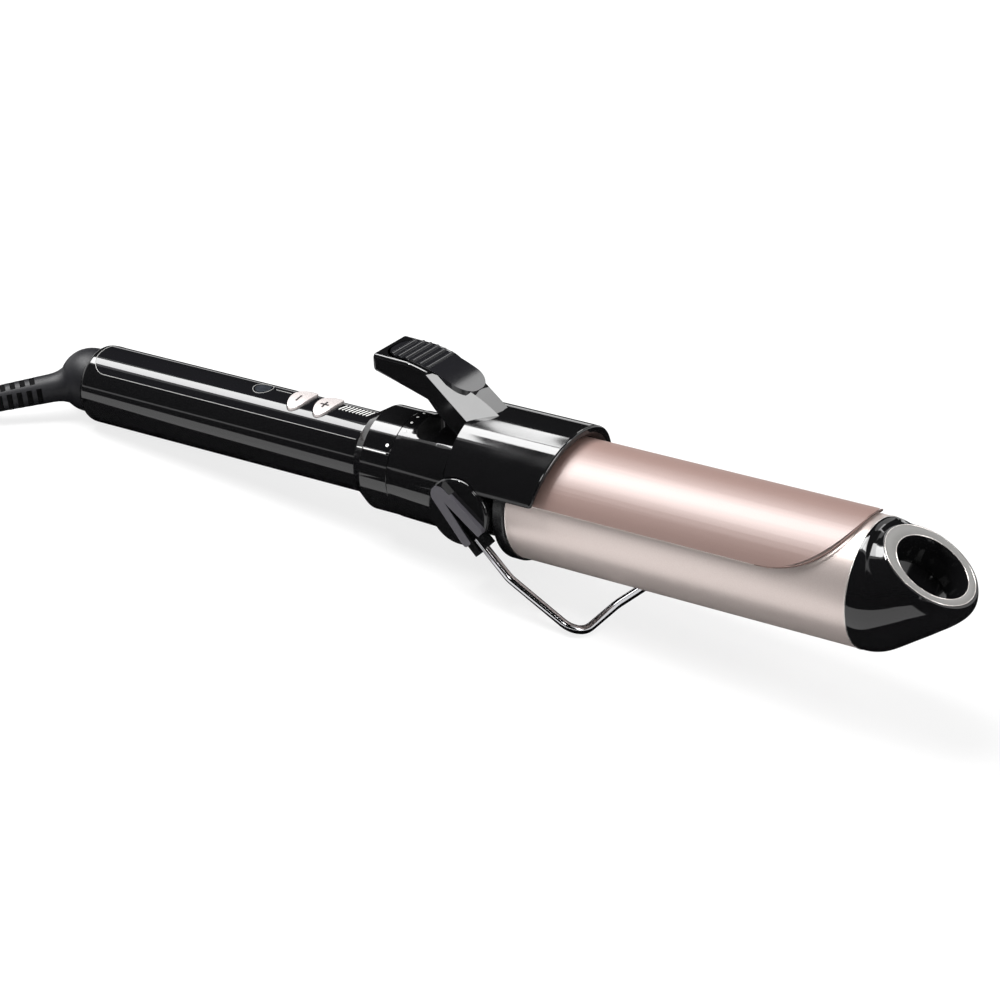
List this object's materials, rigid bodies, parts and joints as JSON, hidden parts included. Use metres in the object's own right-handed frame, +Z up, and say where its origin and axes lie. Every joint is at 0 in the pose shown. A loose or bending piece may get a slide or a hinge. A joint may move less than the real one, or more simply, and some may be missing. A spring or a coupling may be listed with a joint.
{
  "type": "curling iron",
  "caption": "Curling iron with a sprung barrel clamp, thumb lever, temperature dial, folding wire stand and swivel mains cord with plug.",
  "frame": {"origin": "on the supporting surface under the middle of the iron, cord left out", "axes": "+X from the handle towards the tip along the surface, +Z up, the stand's foot and the handle's rear rim on z = 0"},
  "size_m": [0.4492, 0.0975, 0.0623],
  "materials": {
    "gloss_black": "glossy moulded black plastic",
    "panel_black": "piano black inlay",
    "satin_black": "satin heat-resistant black plastic",
    "champagne_metal": "champagne ceramic-coated aluminium, satin",
    "rose_metal": "rose-gold anodised aluminium, satin",
    "ring_grey": "light grey heat-resistant plastic, satin",
    "button_rose": "rose-silver plated plastic, satin",
    "lens_clear": "clear light pipe",
    "pad_rubber": "soft black rubber, matte",
    "wire_chrome": "polished chrome-plated steel wire",
    "steel": "bright steel",
    "spring_steel": "oiled spring steel",
    "board_green": "solder-masked fibreglass",
    "component_black": "moulded epoxy",
    "emitter_white": "milky epoxy",
    "track_carbon": "carbon resistance track",
    "wiper_brass": "phosphor bronze strip",
    "spreader_aluminium": "extruded aluminium",
    "heater_ceramic": "white heater ceramic in film",
    "lead_sleeve": "glass-fibre sleeved copper",
    "boot_rubber": "satin black rubber",
    "cord_rubber": "matte black cord jacket",
    "tie_fabric": "woven hook-and-loop strap",
    "plug_plastic": "moulded black plastic",
    "pin_brass": "nickel-plated brass"
  },
  "bodies": {
    "handle": {"handle_upper": "gloss_black", "handle_lower": "gloss_black", "control_panel": "panel_black", "indicator_lens": "lens_clear", "status_emitter": "emitter_white", "case_screws": "steel", "circuit_board": "board_green", "board_components": "component_black", "switch_bodies": "component_black", "dial_track": "track_carbon", "neck_housing": "gloss_black", "barrel_collar": "satin_black", "barrel_tube": "champagne_metal", "spreader_upper": "spreader_aluminium", "spreader_lower": "spreader_aluminium", "heater_element": "heater_ceramic", "thermal_fuse": "steel", "heater_leads": "lead_sleeve", "tip_cap": "gloss_black", "tip_ring": "ring_grey", "pivot_pin": "steel", "clamp_spring": "spring_steel", "swivel_retainer": "component_black", "mains_leads": "lead_sleeve", "mains_cord": "cord_rubber", "cord_coil": "cord_rubber", "cord_tie": "tie_fabric", "plug_body": "plug_plastic", "plug_pins": "pin_brass"},
    "clamp": {"clamp_lever": "gloss_black", "thumb_pad": "pad_rubber", "clamp_plate": "rose_metal", "clamp_rivets": "steel"},
    "stand": {"stand_hub_near": "gloss_black", "stand_hub_far": "gloss_black", "stand_wire": "wire_chrome"},
    "dial": {"temperature_dial": "gloss_black", "dial_wiper": "wiper_brass"},
    "minus_key": {"minus_button": "button_rose", "minus_plunger": "component_black"},
    "plus_key": {"plus_button": "button_rose", "plus_plunger": "component_black"},
    "boot": {"swivel_boot": "boot_rubber"}
  },
  "joints": [
    {"name": "clamp_hinge", "type": "hinge", "parent": "handle", "child": "clamp", "pos_m": [0.00013, 0, 0.02694], "axis": [0, -1, 0], "range_deg": [0, 16], "stiffness_Nm_per_rad": 0.5, "springref_deg": -28.65},
    {"name": "stand_hinge", "type": "hinge", "parent": "handle", "child": "stand", "pos_m": [0.00013, 0, 0.02694], "axis": [0, 1, 0], "range_deg": [0, 118]},
    {"name": "dial_turn", "type": "hinge", "parent": "handle", "child": "dial", "pos_m": [-0.03661, 0, 0.02347], "axis": [-0.9956, 0, -0.094], "range_deg": [0, 110]},
    {"name": "minus_press", "type": "slide", "parent": "handle", "child": "minus_key", "axis": [0.094, 0, -0.9956], "range_m": [0, 0.0008], "stiffness_N_per_m": 400, "springref_m": -0.0008},
    {"name": "plus_press", "type": "slide", "parent": "handle", "child": "plus_key", "axis": [0.094, 0, -0.9956], "range_m": [0, 0.0008], "stiffness_N_per_m": 400, "springref_m": -0.0008},
    {"name": "boot_swivel", "type": "hinge", "parent": "handle", "child": "boot", "pos_m": [-0.15886, 0, 0.01192], "axis": [-0.6562, -0.7417, -0.1392], "continuous": true}
  ]
}
